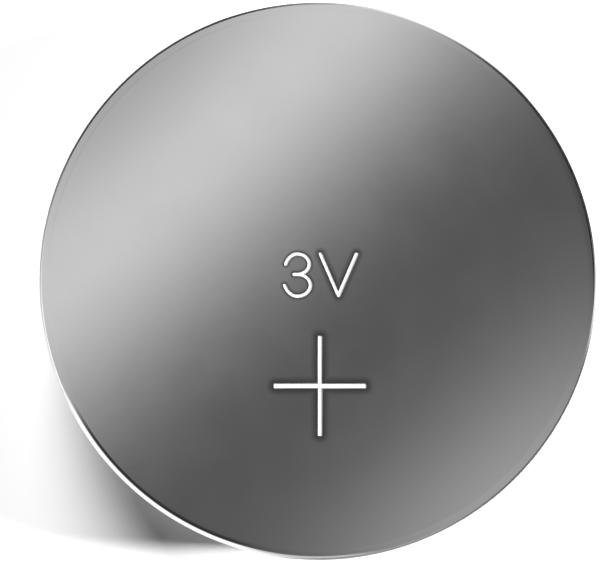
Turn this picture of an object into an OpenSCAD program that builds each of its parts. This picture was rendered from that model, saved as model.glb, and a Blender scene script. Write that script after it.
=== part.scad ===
// Round lithium coin cell, lying on its negative cap with the positive face up.
// The origin is the centre of the negative contact face, and Z is the cell's axis.
// Each piece is a section in the plane of radius and height, turned once round the axis.

/* [Cell] */
// Diameter over the can
cell_d = 20; // [18:0.5:24.5]
// Height from the negative contact face to the positive face
cell_h = 3.2; // [2.8:0.1:5.4]

/* [Positive can] */
// Thickness of the can's sheet
can_sheet = 0.25; // [0.2:0.01:0.3]
// Inside radius of the bend between the face and the side wall
can_bend_r = 0.1; // [0.05:0.01:0.25]
// Inside radius of the crimp's curl
curl_bend_r = 0.4; // [0.3:0.01:0.45]
// Angle through which the crimp turns the wall inwards
curl_turn = 102; // [92:1:110]
// Height of the crimp's lowest point above the negative contact face
curl_rise = 0.15; // [0.1:0.01:0.25]

/* [Negative cap] */
// Thickness of the cap's sheet
cap_sheet = 0.25; // [0.2:0.01:0.3]
// Distance from the outside of the can in to the crown's wall
crown_inset = 1.15; // [1.05:0.05:1.5]
// Inside radius of the bend round the crown's flat
crown_bend_r = 0.1; // [0.05:0.01:0.15]
// Inside radius of the bend at the foot of the crown's wall
step_bend_r = 0.1; // [0.05:0.01:0.15]
// Inside radius of the bend between the shoulder and the skirt
shoulder_bend_r = 0.08; // [0.04:0.01:0.12]

/* [Gasket] */
// Room for the gasket between the can's wall and the cap's skirt
gasket_wall = 0.3; // [0.2:0.01:0.35]
// Room for the gasket between the crimp and the cap's shoulder
gasket_pad = 0.25; // [0.2:0.01:0.35]
// Room for the gasket's foot between the end of the skirt and the can's face
gasket_foot = 0.3; // [0.2:0.01:0.5]
// Thickness of the short wall inside the skirt
gasket_inner_wall = 0.25; // [0.15:0.01:0.35]
// Height of the short wall above the foot
gasket_inner_h = 0.7; // [0.4:0.05:0.9]
// Width of the ring of gasket that shows between the crimp and the crown
ring_w = 0.2; // [0.12:0.01:0.3]
// Depth of that ring behind the negative contact face
ring_depth = 0.3; // [0.25:0.01:0.34]
// Radius of the swell on that ring
ring_swell_r = 0.2; // [0.18:0.01:0.4]

/* [Lithium anode] */
// Thickness of the lithium disc
lithium_t = 0.6; // [0.3:0.05:0.8]
// Room round the lithium disc inside the crown
lithium_room = 0.6; // [0.3:0.05:2]

/* [Separator] */
// Thickness of the separator sheet
separator_t = 0.15; // [0.05:0.01:0.25]
// Height of the margin that is turned up round the pellet
separator_margin = 0.9; // [0.4:0.05:1.1]
// Inside radius of the bend at the margin
separator_bend_r = 0.15; // [0.05:0.01:0.3]

/* [Cathode] */
// Room between the gasket's short wall and the side of the pellet
pellet_room = 1.03; // [0.5:0.01:2]
// Radius of the pellet's pressed edge on the separator's side
pellet_edge_r = 0.12; // [0.05:0.01:0.3]
// Thickness of the ring's sheet
collector_sheet = 0.12; // [0.08:0.01:0.2]
// Width of the ring's flange under the pellet
collector_flange = 1.2; // [0.6:0.1:3]
// Height of the ring's side wall
collector_h = 0.8; // [0.4:0.05:1]
// Inside radius of the ring's bend
collector_bend_r = 0.1; // [0.05:0.01:0.2]

/* [Fits] */
// Gap left between round faces that are squeezed or pressed together
press_gap = 0.02; // [0.01:0.005:0.03]

/* [Hidden] */
$fn = 160;

can_colour = [0.74, 0.74, 0.74];
cap_colour = [0.70, 0.70, 0.69];
gasket_colour = [0.88, 0.88, 0.84];
collector_colour = [0.62, 0.62, 0.62];
pellet_colour = [0.12, 0.12, 0.13];
separator_colour = [0.94, 0.94, 0.92];
lithium_colour = [0.80, 0.81, 0.83];

// The can, from the face down to the end of the crimp's lip
can_r = cell_d / 2;
can_in_r = can_r - can_sheet;
face_z = cell_h - can_sheet;
can_bend_x = can_in_r - can_bend_r;
can_bend_z = face_z - can_bend_r;
curl_x = can_in_r - curl_bend_r;
curl_z = curl_rise + can_sheet + curl_bend_r;
curl_mid_r = curl_bend_r + can_sheet / 2;
// The curl is a quarter turn and an end that laps back over it
curl_lap = 30;
curl_end_turn = curl_turn - 90 + curl_lap;

// The cap, from the crown out to the end of the skirt
crown_r = can_r - crown_inset;
crown_in_r = crown_r - cap_sheet;
crown_bend_x = crown_in_r - crown_bend_r;
crown_bend_z = cap_sheet + crown_bend_r;
step_z = curl_rise + can_sheet + gasket_pad;
step_bend_x = crown_r + step_bend_r;
step_bend_z = step_z - step_bend_r;
skirt_r = can_in_r - gasket_wall;
skirt_in_r = skirt_r - cap_sheet;
skirt_bend_x = skirt_in_r - shoulder_bend_r;
skirt_bend_z = step_z + cap_sheet + shoulder_bend_r;
skirt_end_z = face_z - gasket_foot;

// The crimp's lip ends one ring's width short of the crown
lip_end_r = crown_r + ring_w;
lip_l = (curl_x + curl_mid_r * cos(curl_turn) - lip_end_r) / sin(curl_turn);

// The ring of gasket between the lip and the crown swells by this much
ring_mid_r = crown_r + ring_w / 2;
swell_h = ring_swell_r - sqrt(pow(ring_swell_r, 2) - pow(ring_w / 2, 2));

// The gasket's short wall, inside the skirt
gasket_in_r = skirt_in_r - press_gap - gasket_inner_wall;
gasket_inner_z = skirt_end_z + press_gap - gasket_inner_h;

// The electrodes, stacked from the cap up to the can
lithium_r = crown_in_r - lithium_room;
lithium_z = cap_sheet;
separator_z = lithium_z + lithium_t;
pellet_z = separator_z + separator_t;
pellet_r = gasket_in_r - pellet_room;
collector_in_r = pellet_r + press_gap;
collector_r = collector_in_r + collector_sheet;
collector_z = face_z - collector_sheet;
collector_bend_x = collector_in_r - collector_bend_r;
collector_bend_z = collector_z - collector_bend_r;
flange_in_r = collector_r - collector_flange;
separator_in_r = collector_r + press_gap;
separator_r = separator_in_r + separator_t;
separator_bend_x = separator_in_r - separator_bend_r;
separator_bend_z = pellet_z + separator_bend_r;

// Part of a disc between two angles less than 180 degrees apart
module sector(r, from, to) {
    reach = 2 * r;
    half = (to - from) / 2;
    middle = (from + to) / 2;
    intersection() {
        circle(r = r);
        polygon([
            [0, 0],
            reach * [cos(from), sin(from)],
            reach / cos(half) * [cos(middle), sin(middle)],
            reach * [cos(to), sin(to)]
        ]);
    }
}

// Section of a sheet bent round an inside radius
module bend(inside_r, sheet, from, to) {
    difference() {
        sector(inside_r + sheet, from, to);
        circle(r = inside_r);
    }
}

// Rectangle between two corners
module block(low, high) {
    translate(low)
        square(high - low);
}

// Section of the can: face, bend, wall, curl and lip
module can_section() {
    block([0, face_z], [can_bend_x, cell_h]);
    translate([can_bend_x, can_bend_z])
        bend(can_bend_r, can_sheet, 0, 90);
    block([can_in_r, curl_z], [can_r, can_bend_z]);
    translate([curl_x, curl_z]) {
        bend(curl_bend_r, can_sheet, -90, 0);
        rotate(-curl_turn) {
            bend(curl_bend_r, can_sheet, 0, curl_end_turn);
            block([curl_bend_r, -lip_l], [curl_bend_r + can_sheet, 0]);
        }
    }
}

// Section of the cap: crown, bend, wall, bend, shoulder, bend and skirt
module cap_section() {
    block([0, 0], [crown_bend_x, cap_sheet]);
    translate([crown_bend_x, crown_bend_z])
        bend(crown_bend_r, cap_sheet, -90, 0);
    block([crown_in_r, crown_bend_z], [crown_r, step_bend_z]);
    translate([step_bend_x, step_bend_z])
        bend(step_bend_r, cap_sheet, 90, 180);
    block([step_bend_x, step_z], [skirt_bend_x, step_z + cap_sheet]);
    translate([skirt_bend_x, skirt_bend_z])
        bend(shoulder_bend_r, cap_sheet, -90, 0);
    block([skirt_in_r, skirt_bend_z], [skirt_r, skirt_end_z]);
}

// All that the can closes round and its mouth, drawn back from the sheet by the press gap
module can_room() {
    inside_r = curl_bend_r - press_gap;
    mouth_y = -lip_l - press_gap;
    block([0, can_bend_z], [can_bend_x, face_z - press_gap]);
    translate([can_bend_x, can_bend_z])
        sector(can_bend_r - press_gap, 0, 90);
    block([0, curl_z], [can_in_r - press_gap, can_bend_z]);
    translate([curl_x, curl_z]) {
        sector(inside_r, -90, 0);
        rotate(-curl_turn) {
            sector(inside_r, 0, curl_end_turn);
            block([-curl_bend_r, mouth_y], [inside_r, 0]);
            block([-curl_bend_r, -crown_inset], [curl_bend_r + 2 * can_sheet, mouth_y]);
        }
    }
}

// The cap and all that it covers, grown by the press gap
module cap_body() {
    block([0, 0], [crown_r + press_gap, step_z]);
    difference() {
        block([crown_r, step_bend_z], [step_bend_x, step_z]);
        translate([step_bend_x, step_bend_z])
            circle(r = step_bend_r - press_gap);
    }
    block([0, step_z - press_gap], [skirt_bend_x, skirt_bend_z]);
    translate([skirt_bend_x, skirt_bend_z])
        sector(skirt_r - skirt_bend_x + press_gap, -90, 0);
    block([0, skirt_bend_z], [skirt_r + press_gap, skirt_end_z + press_gap]);
}

// What lies in front of the ring of gasket that shows, with the ring's swell left out
module ring_front() {
    translate([ring_mid_r, ring_depth])
        difference() {
            block([-ring_mid_r, -cell_h], [can_r, swell_h]);
            translate([0, ring_swell_r])
                circle(r = ring_swell_r);
        }
}

// Section of the gasket: the room between can and cap, and the short wall inside the skirt
module gasket_section() {
    tip_r = gasket_inner_wall / 2;
    difference() {
        can_room();
        cap_body();
        ring_front();
        block([0, step_z], [gasket_in_r, cell_h]);
    }
    block([gasket_in_r, gasket_inner_z + tip_r], [skirt_in_r - press_gap, skirt_end_z + press_gap]);
    translate([gasket_in_r + tip_r, gasket_inner_z + tip_r])
        for (from = [-180, -90])
            sector(tip_r, from, from + 90);
}

// Section of the collector ring: flange, bend and side wall
module collector_section() {
    block([flange_in_r, collector_z], [collector_bend_x, face_z]);
    translate([collector_bend_x, collector_bend_z])
        bend(collector_bend_r, collector_sheet, 0, 90);
    block([collector_in_r, face_z - collector_h], [collector_r, collector_bend_z]);
}

// Section of the pellet, with its face let in for the ring's flange
module pellet_section() {
    flange_edge_x = pellet_r - collector_bend_r;
    edge_x = pellet_r - pellet_edge_r;
    edge_z = pellet_z + pellet_edge_r;
    block([0, pellet_z], [edge_x, edge_z]);
    translate([edge_x, edge_z])
        sector(pellet_edge_r, -90, 0);
    block([0, edge_z], [pellet_r, collector_bend_z]);
    block([0, collector_bend_z], [flange_edge_x, collector_z]);
    translate([flange_edge_x, collector_bend_z])
        sector(collector_bend_r, 0, 90);
    block([0, collector_z], [flange_in_r - press_gap, face_z]);
}

// Section of the separator: flat sheet, bend and turned-up margin
module separator_section() {
    block([0, separator_z], [separator_bend_x, pellet_z]);
    translate([separator_bend_x, separator_bend_z])
        bend(separator_bend_r, separator_t, -90, 0);
    block([separator_in_r, separator_bend_z], [separator_r, separator_z + separator_margin]);
}

module positive_can() {
    color(can_colour)
        rotate_extrude()
            can_section();
}

module negative_cap() {
    color(cap_colour)
        rotate_extrude()
            cap_section();
}

module gasket() {
    color(gasket_colour)
        rotate_extrude()
            gasket_section();
}

module cathode_ring() {
    color(collector_colour)
        rotate_extrude()
            collector_section();
}

module cathode_pellet() {
    color(pellet_colour)
        rotate_extrude()
            pellet_section();
}

module separator() {
    color(separator_colour)
        rotate_extrude()
            separator_section();
}

module lithium_anode() {
    color(lithium_colour)
        translate([0, 0, lithium_z])
            cylinder(h = lithium_t, r = lithium_r);
}

positive_can();
negative_cap();
gasket();
cathode_ring();
cathode_pellet();
separator();
lithium_anode();
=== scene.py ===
"""Looks, stage and camera for a lithium coin cell that lies with its positive face up.

The positive can is made here, from the can's own section and with its two marks pressed
into the face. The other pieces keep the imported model's shape and get their finishes here.
The file is laid out as an add-on, and running it makes the whole scene.
"""

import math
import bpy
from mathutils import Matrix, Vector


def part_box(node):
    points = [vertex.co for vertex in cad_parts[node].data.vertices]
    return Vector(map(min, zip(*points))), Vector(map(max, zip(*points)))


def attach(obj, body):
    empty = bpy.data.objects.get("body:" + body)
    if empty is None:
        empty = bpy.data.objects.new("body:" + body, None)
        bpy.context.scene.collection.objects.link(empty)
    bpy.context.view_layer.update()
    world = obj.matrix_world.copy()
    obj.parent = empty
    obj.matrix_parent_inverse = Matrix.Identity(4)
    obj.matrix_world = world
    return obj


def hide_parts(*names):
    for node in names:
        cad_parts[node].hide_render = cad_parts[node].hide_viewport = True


bl_info = {
    "name": "Lithium Coin Cell",
    "version": (1, 0, 0),
    "blender": (4, 5, 0),
    "location": "View3D > Sidebar > Coin Cell",
    "description": "Makes a lithium coin cell, its finishes, and the studio round it",
    "category": "Object",
}

import bmesh
import bpy
from bpy.props import FloatProperty, FloatVectorProperty, IntProperty, PointerProperty
from mathutils import Vector
from mathutils.geometry import tessellate_polygon

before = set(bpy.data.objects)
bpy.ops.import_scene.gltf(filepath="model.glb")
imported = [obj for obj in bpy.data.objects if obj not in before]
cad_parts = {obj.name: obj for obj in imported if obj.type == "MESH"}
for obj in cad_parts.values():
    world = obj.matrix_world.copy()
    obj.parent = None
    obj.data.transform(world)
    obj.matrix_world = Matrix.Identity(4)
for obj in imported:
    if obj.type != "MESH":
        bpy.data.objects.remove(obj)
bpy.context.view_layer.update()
CAN_LOW, CAN_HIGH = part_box("positive_can")
PELLET_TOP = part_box("cathode_pellet")[1].z
MM = 0.001
DEGREE = math.pi / 180
WHITE = (1.0, 1.0, 1.0, 1.0)
# Points nearer than this are one point
MERGE = 0.001 * MM
# The least angle between two faces whose shared edge is shaded sharp
CREASE = 40 * DEGREE
# The can's material slots: its plate, and the frosted floors of the marks
PLATE, FROST = 0, 1
# Steps along the marks' outlines: a corner, a round end, a leaning quarter and half a bowl
CORNER_STEPS = 4
END_STEPS = 10
LEAN_STEPS = 14
BOWL_STEPS = 20
# How often the search for the figure's notch halves its range
HALVINGS = 40
# Radii between which the cap's pressed texture fades out
CROWN_FADE = (8.1 * MM, 8.4 * MM)


def length(name, description, default, low=0.0):
    """A size in metres, shown in the scene's own unit."""
    return FloatProperty(name=name, description=description, default=default, min=low, unit="LENGTH")


def share(name, description, default, high=1.0):
    """A plain number from nothing up to high."""
    return FloatProperty(name=name, description=description, default=default, min=0.0, max=high)


def degrees(name, description, default):
    """An angle, given in degrees and kept in radians."""
    return FloatProperty(name=name, description=description, default=default * DEGREE, subtype="ANGLE")


def colour(name, description, default):
    """A linear colour."""
    return FloatVectorProperty(
        name=name, description=description, default=default, size=3, min=0.0, max=1.0, subtype="COLOR"
    )


class CanSizes(bpy.types.PropertyGroup):
    """Sizes of the drawn and crimped can"""

    radius: length("Radius", "Radius over the side wall", CAN_HIGH.x)
    height: length("Height", "Height of the positive face", CAN_HIGH.z)
    sheet: length("Sheet", "Thickness of the can's sheet", CAN_HIGH.z - PELLET_TOP)
    bend: length("Bend", "Inside radius of the bend round the face", 0.1 * MM)
    curl: length("Curl", "Inside radius of the crimp's curl", 0.4 * MM)
    curl_turn: degrees("Curl turn", "Angle through which the crimp turns the wall", 102)
    curl_rise: length("Curl rise", "Height of the crimp's lowest point", CAN_LOW.z)
    lip_inset: length("Lip inset", "From the outside of the can in to the end of the lip", 0.95 * MM)
    marked: length("Marked radius", "Radius of the flat that holds the marks", 9.62 * MM)
    round_steps: IntProperty(name="Round", description="Steps round the axis", default=256, min=32)
    bend_steps: IntProperty(name="Bends", description="Steps along each bend", default=12, min=3)


class MarkSizes(bpy.types.PropertyGroup):
    """Sizes and places of the polarity sign and the voltage on the face"""

    plus_x: length("Plus X", "Place of the plus sign", 0.06 * MM, -1.0)
    plus_y: length("Plus Y", "Place of the plus sign", -3.734 * MM, -1.0)
    plus_wide: length("Plus width", "Width of the plus sign", 3.28 * MM)
    plus_tall: length("Plus height", "Height of the plus sign", 3.56 * MM)
    plus_upright: length("Upright", "Thickness of the plus sign's upright bar", 0.132 * MM)
    plus_level: length("Level", "Thickness of the plus sign's level bar", 0.154 * MM)
    plus_ease: length("Ease", "Radius of the plus sign's corners", 0.02 * MM)
    stroke: length("Stroke", "Thickness of the figure's and the letter's strokes", 0.108 * MM)
    three_x: length("Figure X", "Place of the figure's upper bowl", -0.74 * MM, -1.0)
    three_y: length("Figure Y", "Height of the figure's middle bar", 0.25 * MM, -1.0)
    upper_wide: length("Upper bowl width", "Half width of the upper bowl", 0.42 * MM)
    upper_tall: length("Upper bowl height", "Half height of the upper bowl", 0.364 * MM)
    lower_wide: length("Lower bowl width", "Half width of the lower bowl", 0.462 * MM)
    lower_tall: length("Lower bowl height", "Half height of the lower bowl", 0.39 * MM)
    bar: length("Middle bar", "Length of the figure's middle bar", 0.125 * MM)
    end_lean: degrees("End lean", "Lean of the figure's two free ends", 25)
    vee_x: length("Letter X", "Place of the letter's foot", 0.72 * MM, -1.0)
    vee_foot: length("Letter foot", "Height of the letter's foot", -0.505 * MM, -1.0)
    vee_wide: length("Letter width", "Width between the letter's two ends", 1.29 * MM)
    vee_tall: length("Letter height", "Height from the letter's foot to its ends", 1.48 * MM)
    depth: length("Depth", "Depth of the marks below the face", 0.015 * MM)
    # Each halo is the width of a band of painted shade round a mark
    plus_painted_shade: length("Plus halo", "Width of the darkened band round the plus sign", 0.28 * MM)
    vee_painted_shade: length("Letter halo", "Width of the darkened band round the letter", 0.2 * MM)
    three_painted_shade: length("Figure halo", "Width of the darkened band round the figure", 0.11 * MM)


class Finishes(bpy.types.PropertyGroup):
    """Colours and gloss of every piece"""

    can: colour("Can", "Nickel plate on the can", (0.72, 0.72, 0.72))
    can_rough: share("Can roughness", "Roughness of the can's satin", 0.15)
    mark: colour("Mark", "Frosted floor of the marks", (0.92, 0.92, 0.92))
    # The halo tone is painted shade: how much of the can's colour is left beside a mark
    painted_shade: share("Halo tone", "Share of the can's colour that is left beside a mark", 0.43)
    cap: colour("Cap", "Nickel plate on the cap", (0.66, 0.655, 0.64))
    cap_rough: share("Cap roughness", "Roughness of the cap's pressed texture", 0.32)
    gasket: colour("Gasket", "Milky polypropylene", (0.76, 0.77, 0.73))
    ring: colour("Ring", "Plain stainless ring in the cathode", (0.56, 0.55, 0.53))
    pellet: colour("Pellet", "Pressed manganese dioxide and graphite", (0.022, 0.021, 0.023))
    fleece: colour("Fleece", "Non-woven separator", (0.84, 0.84, 0.81))
    lithium: colour("Lithium", "Lithium foil with a dull skin", (0.57, 0.57, 0.58))


class Studio(bpy.types.PropertyGroup):
    """Camera, lamps and surroundings"""

    view_wide: length("View width", "Width of the view at the face", 21.407 * MM)
    view_high: length("View height", "Height of the camera above the face", 60 * MM)
    view_x: length("View X", "Place of the camera", -0.652 * MM, -1.0)
    view_y: length("View Y", "Place of the camera", -0.046 * MM, -1.0)
    key: share("Key", "Key lamp's light, where 1 shows a level colour as written", 0.71, 4.0)
    key_bearing: degrees("Key bearing", "Where the key lamp stands round the cell", 101)
    key_rise: degrees("Key rise", "How far the key lamp stands over the horizon", 28)
    key_size: length("Key size", "Width of the key lamp", 0.66)
    side: share("Side", "Side lamp's light, measured like the key lamp's", 0.65, 4.0)
    side_bearing: degrees("Side bearing", "Where the side lamp stands round the cell", 0)
    side_rise: degrees("Side rise", "How far the side lamp stands over the horizon", 19)
    side_size: length("Side size", "Width of the side lamp", 0.13)
    lamp_far: length("Lamp distance", "Distance of the lamps from the cell", 1.0)
    sky: share("Sky", "Light from all round on matt surfaces", 0.01, 4.0)
    floor: colour("Floor", "Pale floor", (0.9, 0.9, 0.9))
    gain: share("Floor gain", "How many times as bright as its colour the floor is", 1.6, 4.0)
    tent: length("Tent", "Radius of the tent that the metal shows", 120 * MM)


SETTINGS = {
    "coin_cell_can": CanSizes,
    "coin_cell_marks": MarkSizes,
    "coin_cell_finishes": Finishes,
    "coin_cell_studio": Studio,
}


class Socket:
    """An output socket in a node tree, with the usual signs of arithmetic."""

    def __init__(self, tree, socket):
        self.tree = tree
        self.socket = socket

    def other(self, name):
        """Another output of the same node."""
        return Socket(self.tree, self.socket.node.outputs[name])

    def math(self, operation, *values):
        """A Math node on this value and the ones given."""
        numbered = dict(enumerate([self, *values]))
        return self.tree.add("ShaderNodeMath", {"operation": operation}, numbered)

    def __add__(self, value):
        return self.math("ADD", value)

    def __sub__(self, value):
        return self.math("SUBTRACT", value)

    def __rsub__(self, value):
        return self.math("MULTIPLY_ADD", -1.0, value)

    def __mul__(self, value):
        return self.math("MULTIPLY", value)

    def __truediv__(self, value):
        return self.math("DIVIDE", value)

    __radd__ = __add__
    __rmul__ = __mul__


class Tree:
    """A node tree that is filled through one method."""

    def __init__(self, tree):
        self.tree = tree
        tree.nodes.clear()

    def add(self, kind, settings=None, values=None, output=0):
        """Adds a node with its settings, then its sockets' values or links, and returns an output."""
        node = self.tree.nodes.new(kind)
        for name, value in (settings or {}).items():
            setattr(node, name, value)
        for name, value in (values or {}).items():
            if isinstance(value, Socket):
                self.tree.links.new(value.socket, node.inputs[name])
            else:
                node.inputs[name].default_value = value
        return Socket(self, node.outputs[output]) if len(node.outputs) else None

    def vector(self, operation, first, second, output=0):
        """A Vector Math node on two vectors."""
        return self.add("ShaderNodeVectorMath", {"operation": operation}, {0: first, 1: second}, output)

    def mix(self, factor, first, second):
        """A colour between two colours."""
        return self.add("ShaderNodeMix", {"data_type": "RGBA"}, {0: factor, 6: first, 7: second}, 2)

    def ramp(self, value, low, high, start=0.0, end=1.0):
        """A smooth step from start at low to end at high."""
        values = {"Value": value, "From Min": low, "From Max": high, "To Min": start, "To Max": end}
        return self.add("ShaderNodeMapRange", {"interpolation_type": "SMOOTHSTEP"}, values)

    def glow(self, strength=1.0):
        """White light of the given strength."""
        return self.add("ShaderNodeEmission", {}, {"Color": WHITE, "Strength": strength})


def off_axis(x, y):
    """How far a place lies from the Z axis."""
    return (x * x + y * y).math("SQRT")


def node_material(name):
    """A new material that is made of nodes."""
    material = bpy.data.materials.new(name)
    material.use_nodes = True
    return material


def rgba(plain, level=1.0):
    """A colour property as the four numbers that a socket takes, darkened or lightened by level."""
    return (*(min(part * level, 1.0) for part in plain), 1.0)


class Finish(Tree):
    """A material's nodes, with the textures that the finishes below share."""

    def __init__(self, name, **constants):
        self.material = node_material(name)
        super().__init__(self.material.node_tree)
        self.surface = self.tree.nodes.new("ShaderNodeBsdfPrincipled")
        for socket, value in constants.items():
            self.surface.inputs[socket.replace("_", " ")].default_value = value
        end = self.tree.nodes.new("ShaderNodeOutputMaterial")
        self.tree.links.new(self.surface.outputs[0], end.inputs["Surface"])
        self.place = self.add("ShaderNodeTexCoord").other("Object")

    def feed(self, **sockets):
        """Links values that change over the surface to the shader's sockets."""
        for name, value in sockets.items():
            self.tree.links.new(value.socket, self.surface.inputs[name.replace("_", " ")])
        return self.material

    def noise(self, size, detail=2.0, place=None, stretch=None):
        """Noise from 0 to 1 whose spots are about size metres across, longer along a stretched axis."""
        place = place or self.place
        if stretch:
            place = self.vector("DIVIDE", place, stretch)
        return self.add(
            "ShaderNodeTexNoise",
            {"noise_dimensions": "3D"},
            {"Vector": place, "Scale": 1 / size, "Detail": detail, "Roughness": 0.55},
        )

    def bump(self, height, distance, strength=1.0, under=None):
        """A bump of the given height in metres."""
        values = {"Height": height, "Distance": distance, "Strength": strength}
        if under:
            values["Normal"] = under
        return self.add("ShaderNodeBump", {}, values)

    def round_place(self):
        """The place unrolled round the axis: the way round, the radius and the height, in metres."""
        split = self.add("ShaderNodeSeparateXYZ", {}, {0: self.place})
        x, y, z = split, split.other("Y"), split.other("Z")
        radius = off_axis(x, y)
        way_round = y.math("ARCTAN2", x) * CAN_HIGH.x
        return way_round, radius, z

    def join(self, x, y, z):
        """A vector from three values."""
        return self.add("ShaderNodeCombineXYZ", {}, {"X": x, "Y": y, "Z": z})


def burnished_bend(steel, radius):
    """1 on the bend round the face, which the drawing die has burnished, and 0 elsewhere."""
    rise = steel.ramp(radius, CAN_HIGH.x - 0.4 * MM, CAN_HIGH.x - 0.3 * MM)
    return rise * steel.ramp(radius, CAN_HIGH.x - 0.06 * MM, CAN_HIGH.x - 0.01 * MM, 1.0, 0.0)


def can_steel(look):
    """Nickel-plated stainless: satin on the face, faint drawing lines down the wall, and painted shade
    round the marks.
    """
    steel = Finish("can_steel", Metallic=1.0)
    way_round, radius, z = steel.round_place()
    bend = burnished_bend(steel, radius)
    cloud = steel.noise(1.8 * MM, 3.0)
    grain = steel.noise(0.05 * MM, 2.0, stretch=(6.0, 1.0, 1.0))
    drawn = steel.noise(0.06 * MM, 3.0, steel.join(way_round, radius * 0.05, z * 0.03))
    # The halo attribute marks painted shade round the marks and down their edges
    painted_shade = steel.add("ShaderNodeAttribute", {"attribute_name": "painted_shade"}).other("Fac")
    wall = steel.ramp(radius, CAN_HIGH.x - 0.12 * MM, CAN_HIGH.x - 0.02 * MM)
    tone = steel.mix(cloud, rgba(look.can, 0.985), rgba(look.can, 1.015))
    tone = steel.mix(wall * drawn * 0.5, tone, rgba(look.can, 0.8))
    # Painted shade: darkens the plate beside the marks towards the halo tone
    tone = steel.mix(painted_shade, tone, rgba(look.can, look.painted_shade))
    rough = look.can_rough + (cloud - 0.5) * 0.05 + (grain - 0.5) * 0.03 - bend * 0.04
    rough = rough + wall * (drawn - 0.4) * 0.16
    rolled = steel.bump(grain, 0.0001 * MM)
    relief = steel.bump(drawn * wall, 0.0015 * MM, under=rolled)
    return steel.feed(Base_Color=tone, Roughness=rough, Normal=relief)


def mark_frost(look):
    """The frosted, almost white floor of a mark."""
    frost = Finish("mark_frost", Metallic=0.0, Specular_IOR_Level=0.3)
    fine = frost.noise(0.03 * MM, 2.0)
    tone = frost.mix(fine, rgba(look.mark, 0.97), rgba(look.mark, 1.0))
    rough = 0.75 + fine * 0.2
    return frost.feed(Base_Color=tone, Roughness=rough, Normal=frost.bump(fine, 0.002 * MM))


def cap_steel(look):
    """Nickel-plated stainless with the fine pressed texture of a cell's negative side."""
    steel = Finish("cap_steel", Metallic=1.0)
    radius = steel.round_place()[1]
    cloud = steel.noise(1.5 * MM, 3.0)
    pits = steel.add(
        "ShaderNodeTexVoronoi",
        {"feature": "SMOOTH_F1"},
        {"Vector": steel.place, "Scale": 1 / (0.12 * MM)},
    )
    flat = steel.ramp(radius, *CROWN_FADE, 1.0, 0.0)
    tone = steel.mix(cloud, rgba(look.cap, 0.94), rgba(look.cap, 1.04))
    rough = look.cap_rough + (cloud - 0.5) * 0.08 - pits * flat * 0.1
    return steel.feed(Base_Color=tone, Roughness=rough, Normal=steel.bump(pits * flat, 0.006 * MM))


def gasket_plastic(look):
    """Milky moulded polypropylene, a little squeezed and shiny where it shows."""
    plastic = Finish(
        "gasket_plastic",
        Metallic=0.0,
        IOR=1.49,
        Subsurface_Weight=0.25,
        Subsurface_Radius=(1.0, 0.95, 0.9),
        Subsurface_Scale=0.4 * MM,
    )
    cloud = plastic.noise(0.9 * MM, 3.0)
    fine = plastic.noise(0.08 * MM, 2.0)
    tone = plastic.mix(cloud, rgba(look.gasket, 0.93), rgba(look.gasket, 1.03))
    rough = 0.4 + (cloud - 0.5) * 0.16 + (fine - 0.5) * 0.08
    return plastic.feed(Base_Color=tone, Roughness=rough, Normal=plastic.bump(fine, 0.003 * MM))


def ring_steel(look):
    """Bare stainless with drawing lines round the ring."""
    steel = Finish("ring_steel", Metallic=1.0)
    way_round, radius, z = steel.round_place()
    lines = steel.noise(0.05 * MM, 3.0, steel.join(way_round * 0.02, radius, z))
    tone = steel.mix(lines, rgba(look.ring, 0.88), rgba(look.ring, 1.08))
    rough = 0.26 + lines * 0.16
    return steel.feed(Base_Color=tone, Roughness=rough, Normal=steel.bump(lines, 0.002 * MM))


def cathode_mix(look):
    """Pressed black powder with graphite glints and a slightly open surface."""
    powder = Finish("cathode_mix", Metallic=0.0, Specular_IOR_Level=0.35)
    lumps = powder.noise(0.35 * MM, 4.0)
    dust = powder.noise(0.04 * MM, 3.0)
    glint = powder.ramp(dust, 0.66, 0.74)
    tone = powder.mix(lumps, rgba(look.pellet, 0.7), rgba(look.pellet, 1.5))
    tone = powder.mix(glint, tone, rgba(look.pellet, 5.0))
    rough = 0.86 - glint * 0.35
    return powder.feed(Base_Color=tone, Roughness=rough, Normal=powder.bump(lumps + dust, 0.02 * MM))


def separator_fleece(look):
    """Non-woven polypropylene: fine fibres laid at three angles and bonded flat."""
    fleece = Finish("separator_fleece", Metallic=0.0, Specular_IOR_Level=0.3)
    fibres = None
    for turned in (0, 57, 118):
        turn = (0.0, 0.0, turned * DEGREE)
        laid = fleece.add("ShaderNodeMapping", {}, {"Vector": fleece.place, "Rotation": turn})
        layer = fleece.noise(0.03 * MM, 2.0, laid, (18.0, 1.0, 1.0))
        fibres = layer if fibres is None else fibres.math("MAXIMUM", layer)
    bright = fleece.ramp(fibres, 0.5, 0.75)
    tone = fleece.mix(bright, rgba(look.fleece, 0.8), rgba(look.fleece, 1.05))
    rough = 0.9 - bright * 0.15
    return fleece.feed(Base_Color=tone, Roughness=rough, Normal=fleece.bump(bright, 0.012 * MM))


def lithium_foil(look):
    """Soft rolled lithium with a dull skin that is a little darker in patches."""
    foil = Finish("lithium_foil", Metallic=0.85)
    patches = foil.noise(3.5 * MM, 5.0)
    rolled = foil.noise(0.06 * MM, 3.0, stretch=(40.0, 1.0, 1.0))
    dull = foil.ramp(patches, 0.3, 0.75)
    tone = foil.mix(dull, rgba(look.lithium, 1.0), rgba(look.lithium, 0.74))
    tone = foil.mix(rolled * 0.6, tone, rgba(look.lithium, 0.86))
    rough = 0.38 + dull * 0.2 + (rolled - 0.5) * 0.16
    return foil.feed(Base_Color=tone, Roughness=rough, Normal=foil.bump(rolled, 0.003 * MM))


def arc(centre, radii, start, end, steps):
    """Points along part of an ellipse, both ends included, between two angles in degrees."""
    points = []
    for step in range(steps + 1):
        angle = (start + (end - start) * step / steps) * DEGREE
        points.append((centre[0] + radii[0] * math.cos(angle), centre[1] + radii[1] * math.sin(angle)))
    return points


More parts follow.
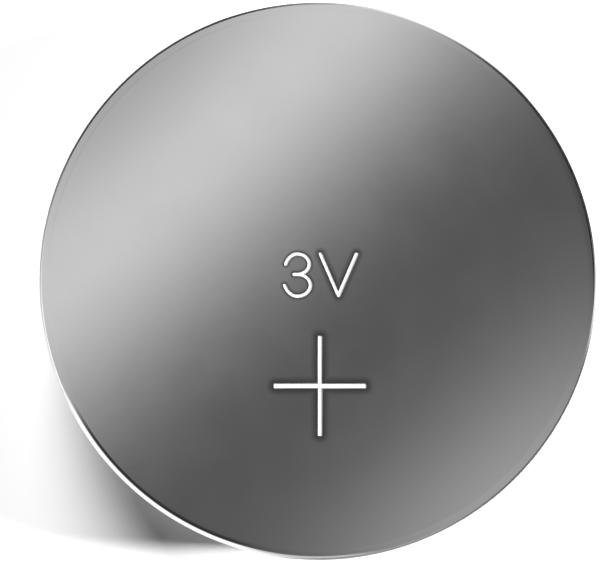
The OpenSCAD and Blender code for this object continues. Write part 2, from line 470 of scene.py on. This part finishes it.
def can_section(can):
    """The can's section as radius and height, from the middle of its inside round to the face."""
    inside = can.radius - can.sheet
    bend_x = inside - can.bend
    bend_z = can.height - can.sheet - can.bend
    curl_x = inside - can.curl
    curl_z = can.curl_rise + can.sheet + can.curl
    outer_bend = can.bend + can.sheet
    outer_curl = can.curl + can.sheet
    turned = can.curl_turn / DEGREE
    middle = (can.curl + outer_curl) / 2
    lip_end = can.radius - can.lip_inset
    lip = (curl_x + middle * math.cos(can.curl_turn) - lip_end) / math.sin(can.curl_turn)
    curl_steps = 2 * can.bend_steps
    along = (-lip * math.sin(can.curl_turn), -lip * math.cos(can.curl_turn))

    points = [(0.0, can.height - can.sheet)]
    points += arc((bend_x, bend_z), (can.bend, can.bend), 90, 0, can.bend_steps)
    curl = arc((curl_x, curl_z), (can.curl, can.curl), 0, -turned, curl_steps)
    points += curl
    points.append((curl[-1][0] + along[0], curl[-1][1] + along[1]))
    back = arc((curl_x, curl_z), (outer_curl, outer_curl), -turned, 0, curl_steps)
    points.append((back[0][0] + along[0], back[0][1] + along[1]))
    points += back
    points += arc((bend_x, bend_z), (outer_bend, outer_bend), 0, 90, can.bend_steps)
    points.append((can.marked, can.height))
    return points


def turning_tree():
    """Geometry nodes that turn a section in the XZ plane once round the Z axis."""
    group = bpy.data.node_groups.new("turn_section", "GeometryNodeTree")
    sockets = group.interface
    sockets.new_socket("Section", in_out="INPUT", socket_type="NodeSocketGeometry")
    sockets.new_socket("Steps", in_out="INPUT", socket_type="NodeSocketInt")
    sockets.new_socket("Finish", in_out="INPUT", socket_type="NodeSocketMaterial")
    sockets.new_socket("Piece", in_out="OUTPUT", socket_type="NodeSocketGeometry")
    tree = Tree(group)
    section = tree.add("NodeGroupInput")
    steps, finish = section.other("Steps"), section.other("Finish")
    count = tree.add("GeometryNodeAttributeDomainSize", {"component": "MESH"}, {"Geometry": section})
    grid = tree.add("GeometryNodeMeshGrid", {}, {"Vertices X": steps + 1.0, "Vertices Y": count})
    index = tree.add("GeometryNodeInputIndex")
    turned = (index / count).math("FLOOR")
    nth = index.math("MODULO", count)
    point = tree.add(
        "GeometryNodeSampleIndex",
        {"data_type": "FLOAT_VECTOR", "domain": "POINT"},
        {"Geometry": section, "Value": tree.add("GeometryNodeInputPosition"), "Index": nth},
    )
    split = tree.add("ShaderNodeSeparateXYZ", {}, {0: point})
    angle = turned / steps * (2 * math.pi)
    x, y = split * angle.math("COSINE"), split * angle.math("SINE")
    place = tree.add("ShaderNodeCombineXYZ", {}, {"X": x, "Y": y, "Z": split.other("Z")})
    wrapped = tree.add("GeometryNodeSetPosition", {}, {"Geometry": grid, "Position": place})
    closed = tree.add("GeometryNodeMergeByDistance", {}, {"Geometry": wrapped, "Distance": MERGE})
    done = tree.add("GeometryNodeSetMaterial", {}, {"Geometry": closed, "Material": finish})
    tree.add("NodeGroupOutput", {}, {0: done})
    return group


def new_piece(name, mesh):
    """An object for a mesh, linked to the scene."""
    piece = bpy.data.objects.new(name, mesh)
    bpy.context.scene.collection.objects.link(piece)
    return piece


def turned_mesh(section, steps, material):
    """The plain mesh of a section turned round the axis by the nodes."""
    points = [(x, 0.0, z) for x, z in section]
    edges = [(i, i + 1) for i in range(len(section) - 1)]
    outline = bpy.data.meshes.new("section")
    outline.from_pydata(points, edges, [])
    maker = new_piece("section", outline)
    modifier = maker.modifiers.new("turn", "NODES")
    modifier.node_group = turning_tree()
    inputs = {item.name: item.identifier for item in modifier.node_group.interface.items_tree}
    modifier[inputs["Steps"]] = steps
    modifier[inputs["Finish"]] = material
    evaluated = maker.evaluated_get(bpy.context.evaluated_depsgraph_get())
    mesh = bpy.data.meshes.new_from_object(evaluated)
    bpy.data.objects.remove(maker)
    return mesh


def plus_outline(marks, grow):
    """The plus sign's outline, grown outwards all round."""
    across = marks.plus_upright / 2 + grow
    up = marks.plus_level / 2 + grow
    reach_x = marks.plus_wide / 2 + grow
    reach_y = marks.plus_tall / 2 + grow
    ease = marks.plus_ease + grow
    corners = [
        (reach_x, -up, -90), (reach_x, up, 0), (across, up, None), (across, reach_y, 0),
        (-across, reach_y, 90), (-across, up, None), (-reach_x, up, 90), (-reach_x, -up, 180),
        (-across, -up, None), (-across, -reach_y, 180), (across, -reach_y, 270), (across, -up, None),
    ]
    points = []
    for x, y, start in corners:
        if start is None:
            points.append((x, y))
            continue
        centre = (x - math.copysign(ease, x), y - math.copysign(ease, y))
        points += arc(centre, (ease, ease), start, start + 90, CORNER_STEPS)
    return [(marks.plus_x + x, marks.plus_y + y) for x, y in points]


def vee_outline(marks, grow):
    """The letter's outline: two strokes with round ends that meet in a round foot."""
    half = marks.stroke / 2 + grow
    radii = (half, half)
    lean = math.atan2(marks.vee_wide / 2, marks.vee_tall)
    tilt = lean / DEGREE
    top = marks.vee_foot + marks.vee_tall
    points = arc((marks.vee_x, marks.vee_foot), radii, 180 + tilt, 360 - tilt, END_STEPS)
    points += arc((marks.vee_x + marks.vee_wide / 2, top), radii, -tilt, 180 - tilt, END_STEPS)
    points.append((marks.vee_x, marks.vee_foot + half / math.sin(lean)))
    points += arc((marks.vee_x - marks.vee_wide / 2, top), radii, tilt, 180 + tilt, END_STEPS)
    return points


def notch_angle(upper, upper_radii, lower, lower_radii):
    """Where the upper bowl's outside enters the lower one's, as an angle on the upper bowl."""
    inside, outside = -90.0, 0.0
    for _ in range(HALVINGS):
        middle = (inside + outside) / 2
        x, y = arc(upper, upper_radii, middle, middle, 1)[0]
        off = math.hypot((x - lower[0]) / lower_radii[0], (y - lower[1]) / lower_radii[1])
        inside, outside = (middle, outside) if off < 1 else (inside, middle)
    return inside


def free_end(centre, wide, tall, half, lean):
    """The free quarter of a bowl, from its top round the leaning end and back to its top.

    It follows a taller ellipse than the rest of the bowl, and ends level with the bowl's middle.
    """
    taller = tall / (1 - math.sin(lean))
    wider = wide / math.cos(lean)
    middle = (centre[0], centre[1] + tall - taller)
    stop = 180 - lean / DEGREE
    tip = arc(middle, (wider, taller), stop, stop, 1)[0]
    points = arc(middle, (wider + half, taller + half), 90, stop, LEAN_STEPS)
    points += arc(tip, (half, half), stop, stop + 180, END_STEPS)[1:]
    return points + arc(middle, (wider - half, taller - half), stop, 90, LEAN_STEPS)[1:]


def three_outline(marks, grow):
    """The figure's outline: two bowls that meet at a short middle bar, with round ends."""
    half = marks.stroke / 2 + grow
    upper = (marks.three_x, marks.three_y + marks.upper_tall)
    lower = (marks.three_x, marks.three_y - marks.lower_tall)
    upper_out = (marks.upper_wide + half, marks.upper_tall + half)
    upper_in = (marks.upper_wide - half, marks.upper_tall - half)
    lower_out = (marks.lower_wide + half, marks.lower_tall + half)
    lower_in = (marks.lower_wide - half, marks.lower_tall - half)
    notch = notch_angle(upper, upper_out, lower, lower_out)
    x, y = arc(upper, upper_out, notch, notch, 1)[0]
    lower_notch = math.atan2((y - lower[1]) / lower_out[1], (x - lower[0]) / lower_out[0]) / DEGREE
    points = arc(upper, upper_out, notch, 90, BOWL_STEPS)
    points += free_end(upper, marks.upper_wide, marks.upper_tall, half, marks.end_lean)[1:]
    points += arc(upper, upper_in, 90, -90, BOWL_STEPS)[1:]
    points += arc((marks.three_x - marks.bar, marks.three_y), (half, half), 90, 270, END_STEPS)
    points += arc(lower, lower_in, 90, -90, BOWL_STEPS)
    mirrored = (lower[0], -lower[1])
    turned = free_end(mirrored, marks.lower_wide, marks.lower_tall, half, marks.end_lean)
    points += [(x, -y) for x, y in reversed(turned)][1:]
    points += arc(lower, lower_out, 270, 360 + lower_notch, BOWL_STEPS)[1:-1]
    return points


def filled(loops):
    """Triangles, as numbers of points counted through all loops, inside the first loop only."""
    flat = [Vector((x, y, 0.0)) for loop in loops for x, y in loop]
    triangles = []
    for a, b, c in tessellate_polygon([[(x, y, 0.0) for x, y in loop] for loop in loops]):
        up = (flat[b] - flat[a]).cross(flat[c] - flat[a]).z > 0
        triangles.append((a, b, c) if up else (a, c, b))
    return triangles


# Painted shade round a mark, from its outside in: how far out, as a share of the band's width,
# and how dark
PAINTED_SHADE_FADE = [(1.0, 0.0), (0.65, 0.35), (0.4, 0.65), (0.18, 1.0), (0.0, 0.8)]


def add_marked_face(mesh, can, marks):
    """Closes the can's face with a flat that holds the marks, each set in by its depth and ringed with
    painted shade.
    """
    shape = bmesh.new()
    shape.from_mesh(mesh)
    for face in shape.faces:
        face.material_index = PLATE
    # How dark each point's painted shade is, from 0 to 1, round and down the marks
    painted_shade = shape.verts.layers.float.new("painted_shade")
    # Widths of the slope down to a mark's floor and of the eased edge above it
    slope = 0.006 * MM
    eased = 0.004 * MM
    # From the face down a mark's edge: how far out, how high and how dark its painted shade is
    edge_rings = [
        (eased, -0.1 * marks.depth, 1.0),
        (0.0, -0.45 * marks.depth, 1.0),
        (-slope, -marks.depth, 0.0),
    ]

    def add_points(loop, z, shade):
        made = [shape.verts.new((x, y, can.height + z)) for x, y in loop]
        for vert in made:
            vert[painted_shade] = shade
        return made

    rim = arc((0.0, 0.0), (can.marked, can.marked), 0, 360, can.round_steps)[:-1]
    face_loops, face_verts = [rim], add_points(rim, 0.0, 0.0)
    bands = [
        (plus_outline, marks.plus_painted_shade),
        (vee_outline, marks.vee_painted_shade),
        (three_outline, marks.three_painted_shade),
    ]
    for outline, band in bands:
        rings = [(eased + slope + out * band, 0.0, dark) for out, dark in PAINTED_SHADE_FADE] + edge_rings
        loops = [outline(marks, grow) for grow, _, _ in rings]
        verts = [add_points(loop, z, shade) for loop, (_, z, shade) in zip(loops, rings)]
        for level in range(len(rings) - 1):
            outer, inner = verts[level], verts[level + 1]
            slot = FROST if level == len(rings) - 2 else PLATE
            for i in range(len(outer)):
                corners = [outer[i - 1], outer[i], inner[i], inner[i - 1]]
                shape.faces.new(corners).material_index = slot
        shape.faces.new(verts[-1]).material_index = FROST
        face_loops.append(loops[0])
        face_verts += verts[0]
    for triangle in filled(face_loops):
        shape.faces.new([face_verts[i] for i in triangle]).material_index = PLATE
    bmesh.ops.remove_doubles(shape, verts=shape.verts, dist=MERGE)
    for face in shape.faces:
        face.smooth = True
    shape.to_mesh(mesh)
    shape.free()


class COINCELL_OT_positive_can(bpy.types.Operator):
    """Make the positive can with its crimp and its marked face"""

    bl_idname = "coincell.positive_can"
    bl_label = "Positive Can"

    def execute(self, context):
        scene = context.scene
        look, can = scene.coin_cell_finishes, scene.coin_cell_can
        steel = can_steel(look)
        mesh = turned_mesh(can_section(can), can.round_steps, steel)
        mesh.name = "marked_can"
        mesh.materials.clear()
        mesh.materials.append(steel)
        mesh.materials.append(mark_frost(look))
        add_marked_face(mesh, can, scene.coin_cell_marks)
        mesh.set_sharp_from_angle(angle=CREASE)
        piece = new_piece("marked_can", mesh)
        weighted = piece.modifiers.new("even_shading", "WEIGHTED_NORMAL")
        weighted.keep_sharp = True
        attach(piece, "root")
        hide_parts("positive_can")
        return {"FINISHED"}


def put_on(node, material):
    """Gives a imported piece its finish."""
    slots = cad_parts[node].material_slots
    if not slots:
        raise RuntimeError(f"{node} has no material slot")
    for slot in slots:
        slot.material = material


class COINCELL_OT_seal(bpy.types.Operator):
    """Finish the negative cap and the gasket"""

    bl_idname = "coincell.seal"
    bl_label = "Cap and Gasket"

    def execute(self, context):
        look = context.scene.coin_cell_finishes
        put_on("negative_cap", cap_steel(look))
        put_on("gasket", gasket_plastic(look))
        return {"FINISHED"}


class COINCELL_OT_electrodes(bpy.types.Operator):
    """Finish the ring, the pellet, the separator and the lithium"""

    bl_idname = "coincell.electrodes"
    bl_label = "Electrodes"

    def execute(self, context):
        look = context.scene.coin_cell_finishes
        put_on("cathode_ring", ring_steel(look))
        put_on("cathode_pellet", cathode_mix(look))
        put_on("separator", separator_fleece(look))
        put_on("lithium_anode", lithium_foil(look))
        return {"FINISHED"}


# The floor turns white between these distances from the cell's middle, for the camera and for gloss
FLOOR_FADE = (22 * MM, 60 * MM)
# Half the floor's width and the farthest that the camera sees, in tent radii
FLOOR_REACH = 40
VIEW_REACH = 100
# In millimetres, as the camera takes it
SENSOR_WIDTH = 36


def seen_directly(tree):
    """1 for the camera, for gloss and for glass, and 0 for what lights matt surfaces."""
    path = tree.add("ShaderNodeLightPath")
    shown = path.math("MAXIMUM", path.other("Is Glossy Ray"))
    return shown.math("MAXIMUM", path.other("Is Transmission Ray"))


def pale_world(level):
    """A white world for the camera, for gloss and for glass, and a plain level on matt surfaces."""
    world = bpy.data.worlds.new("pale")
    world.use_nodes = True
    tree = Tree(world.node_tree)
    strength = seen_directly(tree).math("MAXIMUM", level)
    light = tree.add("ShaderNodeBackground", {}, {"Color": WHITE, "Strength": strength})
    tree.add("ShaderNodeOutputWorld", {}, {"Surface": light})
    bpy.context.scene.world = world


def floor_material(plain, gain):
    """A pale floor that turns plain white for the camera and for gloss far from the cell."""
    material = node_material("pale_floor")
    tree = Tree(material.node_tree)
    place = tree.add("ShaderNodeTexCoord").other("Object")
    far = tree.add("ShaderNodeVectorMath", {"operation": "LENGTH"}, {0: place}, "Value")
    fade = tree.ramp(far, *FLOOR_FADE) * seen_directly(tree)
    bright = (*(part * gain for part in plain), 1.0)
    matt = tree.add("ShaderNodeBsdfDiffuse", {}, {"Color": bright})
    both = tree.add("ShaderNodeMixShader", {}, {0: fade, 1: matt, 2: tree.glow()})
    tree.add("ShaderNodeOutputMaterial", {}, {"Surface": both})
    return material


# Two soft boxes overhead, one each way along a bearing: as the flat face shows them, the middle
# and the half width of each, in cell radii along that bearing, and its level. The bend shows the
# same boxes lower down, where they are drawn as soft as the satin face makes them look.
BOX_BEARING = 313 * DEGREE
SOFT_BOXES = [
    (-0.57, 0.35, 0.845),
    (1.25, 0.42, 0.7),
]
LOW_BOXES = [
    (-0.66, 0.489, 0.7),
    (1.3, 0.43, 0.6),
]
# Elevations in degrees between which the lower boxes give way to the upper ones
BOX_SWITCH = (70, 78)
# What the tent gives where no box or zone lies
OVERHEAD = 0.09
# Steps round the tent, and twice as many as a whole sphere has from pole to pole
TENT_STEPS = 64
# Soft zones of the tent, as the metal shows them: the middle of the zone round the cell, its half
# width, its lowest and highest elevation and its softness, all in degrees, and its level
TENT_ZONES = [
    (28, 30, -20, 20, 14, 0.0),
    (233, 27, -20, 20, 9, 1.5),
    (268, 12, -20, 20, 9, 0.75),
    (233, 23, 30, 60, 9, 0.04),
]
# The card on the floor: its inner edge and its reach in cell radii, its height and its steps
CARD_INNER = 1.01
CARD_REACH = 6
CARD_RISE = 0.03 * MM
CARD_STEPS = 96
# Soft zones of the card: middle, half width and softness in degrees, inner edge in cell radii,
# and level
GROUND_ZONES = [
    (28, 28, 26, 1.5, 0.0),
    (126, 47, 58, 1.0, 0.08),
    (283, 20, 20, 1.0, 0.42),
    (325, 26, 20, 1.0, 0.2),
    (233, 25, 10, 1.0, 1.4),
]
# How far a zone's inner edge fades to either side, in cell radii
ZONE_FADE = 0.15


def zone_mask(tree, place, middle, half_width, edge):
    """1 within half_width degrees of a bearing, and 0 elsewhere, softened by edge either side."""
    way_round = place.other("Y").math("ARCTAN2", place) / DEGREE
    turned = (way_round - (middle - 180)).math("FLOORED_MODULO", 360.0)
    away = (turned - 180.0).math("ABSOLUTE")
    return tree.ramp(away, half_width - edge, half_width + edge, 1.0, 0.0)


def glow_material(name):
    """A material that only gives light, and its tree and its place as a split vector."""
    material = node_material(name)
    material.cycles.emission_sampling = "NONE"
    tree = Tree(material.node_tree)
    place = tree.add("ShaderNodeTexCoord").other("Object")
    return material, tree, tree.add("ShaderNodeSeparateXYZ", {}, {0: place})


def tent_material(studio, radius):
    """Light that only the metal sees: two soft boxes overhead and soft zones low down."""
    material, tree, place = glow_material("tent")
    x, y, z = place, place.other("Y"), place.other("Z")
    elevation = (z / studio.tent).math("ARCSINE") / DEGREE
    # The flat face shows the camera the tent out to this distance from the axis
    face_reach = radius * (1 + studio.tent / studio.view_high)
    reach = off_axis(x, y).math("MAXIMUM", face_reach)
    across = (x * math.cos(BOX_BEARING) + y * math.sin(BOX_BEARING)) / reach
    lower = tree.ramp(elevation, *BOX_SWITCH, 1.0, 0.0)
    level = OVERHEAD
    for boxes, part in ((SOFT_BOXES, 1.0 - lower), (LOW_BOXES, lower)):
        for middle, half_width, strength in boxes:
            off = (across - middle) / half_width
            level = (off * off * -1.0).math("EXPONENT") * part * strength + level
    for middle, half_width, low, high, soft, strength in TENT_ZONES:
        edge = soft / 2
        mask = zone_mask(tree, place, middle, half_width, edge)
        mask = mask * tree.ramp(elevation, high - edge, high + edge, 1.0, 0.0)
        mask = mask * tree.ramp(elevation, low - edge, low + edge)
        level = level + (strength - level) * mask
    tree.add("ShaderNodeOutputMaterial", {}, {"Surface": tree.glow(level)})
    return material


def ground_material(radius):
    """Soft dark and bright patches on the floor that only the metal sees, and nothing between."""
    material, tree, place = glow_material("ground_card")
    x, y = place, place.other("Y")
    reach = off_axis(x, y) / radius
    level, cover = 0.0, 0.0
    for middle, half_width, soft, inner, strength in GROUND_ZONES:
        mask = zone_mask(tree, place, middle, half_width, soft / 2)
        mask = mask * tree.ramp(reach, inner - ZONE_FADE, inner + ZONE_FADE)
        level = mask * strength + level
        cover = mask + cover
    glow = tree.glow(level / cover.math("MAXIMUM", 0.001))
    clear = tree.add("ShaderNodeBsdfTransparent")
    both = tree.add("ShaderNodeMixShader", {}, {0: cover.math("MINIMUM", 1.0), 1: clear, 2: glow})
    tree.add("ShaderNodeOutputMaterial", {}, {"Surface": both})
    return material


def only_for_gloss(thing):
    """Hides a stage piece from everything but reflections."""
    for kind in ("camera", "diffuse", "transmission", "volume_scatter", "shadow"):
        setattr(thing, f"visible_{kind}", False)


def add_tent(studio, radius):
    """A half dome round the cell."""
    shape = bmesh.new()
    bmesh.ops.create_uvsphere(
        shape, u_segments=TENT_STEPS, v_segments=TENT_STEPS // 2, radius=studio.tent
    )
    below = [vert for vert in shape.verts if vert.co.z < -MERGE]
    bmesh.ops.delete(shape, geom=below, context="VERTS")
    mesh = bpy.data.meshes.new("tent")
    shape.to_mesh(mesh)
    shape.free()
    mesh.materials.append(tent_material(studio, radius))
    only_for_gloss(new_piece("tent", mesh))


def add_ground_card(radius):
    """A flat ring on the floor, a little off the can's wall."""
    points = []
    for edge in (CARD_INNER * radius, CARD_REACH * radius):
        circle = arc((0.0, 0.0), (edge, edge), 0, 360, CARD_STEPS)[:-1]
        points += [(x, y, CARD_RISE) for x, y in circle]
    faces = []
    for i in range(CARD_STEPS):
        after = (i + 1) % CARD_STEPS
        faces.append((i, CARD_STEPS + i, CARD_STEPS + after, after))
    mesh = bpy.data.meshes.new("ground_card")
    mesh.from_pydata(points, [], faces)
    mesh.materials.append(ground_material(radius))
    only_for_gloss(new_piece("ground_card", mesh))


def add_floor(studio):
    """The wide floor that the cell lies on."""
    wide = FLOOR_REACH * studio.tent
    corners = [(-wide, -wide, 0), (wide, -wide, 0), (wide, wide, 0), (-wide, wide, 0)]
    mesh = bpy.data.meshes.new("floor")
    mesh.from_pydata(corners, [], [(0, 1, 2, 3)])
    mesh.materials.append(floor_material(studio.floor, studio.gain))
    new_piece("floor", mesh)


def add_lamp(name, target, far, bearing, rise, size, level):
    """A round soft lamp that lights a level surface at the target by the given level."""
    light = bpy.data.lights.new(name, "AREA")
    light.shape = "DISK"
    light.size = size
    steep = math.sin(rise)
    light.energy = level * (math.pi * far) ** 2 / steep
    lamp = bpy.data.objects.new(name, light)
    bpy.context.scene.collection.objects.link(lamp)
    flat = math.cos(rise)
    aim = Vector((flat * math.cos(bearing), flat * math.sin(bearing), steep))
    lamp.location = target + aim * far
    lamp.rotation_euler = aim.to_track_quat("Z", "Y").to_euler()
    lamp.visible_glossy = False


def add_lamps(studio, target):
    """Two lamps that cross over the cell.

    The floor's gain lets each lamp alone leave it white, so that it only darkens where the two
    shadows cross, and the two together don't burn out the frosted marks.
    """
    lamps = [
        ("key_lamp", studio.key_bearing, studio.key_rise, studio.key_size, studio.key),
        ("side_lamp", studio.side_bearing, studio.side_rise, studio.side_size, studio.side),
    ]
    for name, bearing, rise, size, level in lamps:
        add_lamp(name, target, studio.lamp_far, bearing, rise, size, level)


def add_camera(studio, height):
    """The camera, which looks straight down on the face."""
    lens = bpy.data.cameras.new("camera")
    lens.sensor_width = SENSOR_WIDTH
    lens.lens = SENSOR_WIDTH * studio.view_high / studio.view_wide
    lens.clip_start = MM
    lens.clip_end = VIEW_REACH * studio.tent
    camera = bpy.data.objects.new("camera", lens)
    bpy.context.scene.collection.objects.link(camera)
    camera.location = (studio.view_x, studio.view_y, height + studio.view_high)
    bpy.context.scene.camera = camera


class COINCELL_OT_stage(bpy.types.Operator):
    """Set up the floor, the lamps, the tent and the camera that looks straight down"""

    bl_idname = "coincell.stage"
    bl_label = "Stage"

    def execute(self, context):
        scene = context.scene
        studio, can = scene.coin_cell_studio, scene.coin_cell_can
        add_floor(studio)
        pale_world(studio.sky)
        add_tent(studio, can.radius)
        add_ground_card(can.radius)
        add_lamps(studio, Vector((0.0, 0.0, can.height)))
        add_camera(studio, can.height)
        scene.view_settings.view_transform = "Standard"
        return {"FINISHED"}


OPERATORS = [
    COINCELL_OT_positive_can,
    COINCELL_OT_seal,
    COINCELL_OT_electrodes,
    COINCELL_OT_stage,
]


class COINCELL_PT_pieces(bpy.types.Panel):
    """Buttons and settings for the coin cell"""

    bl_label = "Coin Cell"
    bl_idname = "COINCELL_PT_pieces"
    bl_space_type = "VIEW_3D"
    bl_region_type = "UI"
    bl_category = "Coin Cell"

    def draw(self, context):
        for operator in OPERATORS:
            self.layout.operator(operator.bl_idname)
        for name in SETTINGS:
            settings = getattr(context.scene, name)
            box = self.layout.box()
            for part in settings.bl_rna.properties:
                if part.identifier not in {"rna_type", "name"}:
                    box.prop(settings, part.identifier)


def register():
    for kind in [*SETTINGS.values(), *OPERATORS, COINCELL_PT_pieces]:
        bpy.utils.register_class(kind)
    for name, kind in SETTINGS.items():
        setattr(bpy.types.Scene, name, PointerProperty(type=kind))


def unregister():
    for name in SETTINGS:
        delattr(bpy.types.Scene, name)
    for kind in [COINCELL_PT_pieces, *reversed(OPERATORS), *SETTINGS.values()]:
        bpy.utils.unregister_class(kind)


def main():
    register()
    bpy.ops.coincell.positive_can()
    bpy.ops.coincell.seal()
    bpy.ops.coincell.electrodes()
    bpy.ops.coincell.stage()


if __name__ == "__main__":
    main()
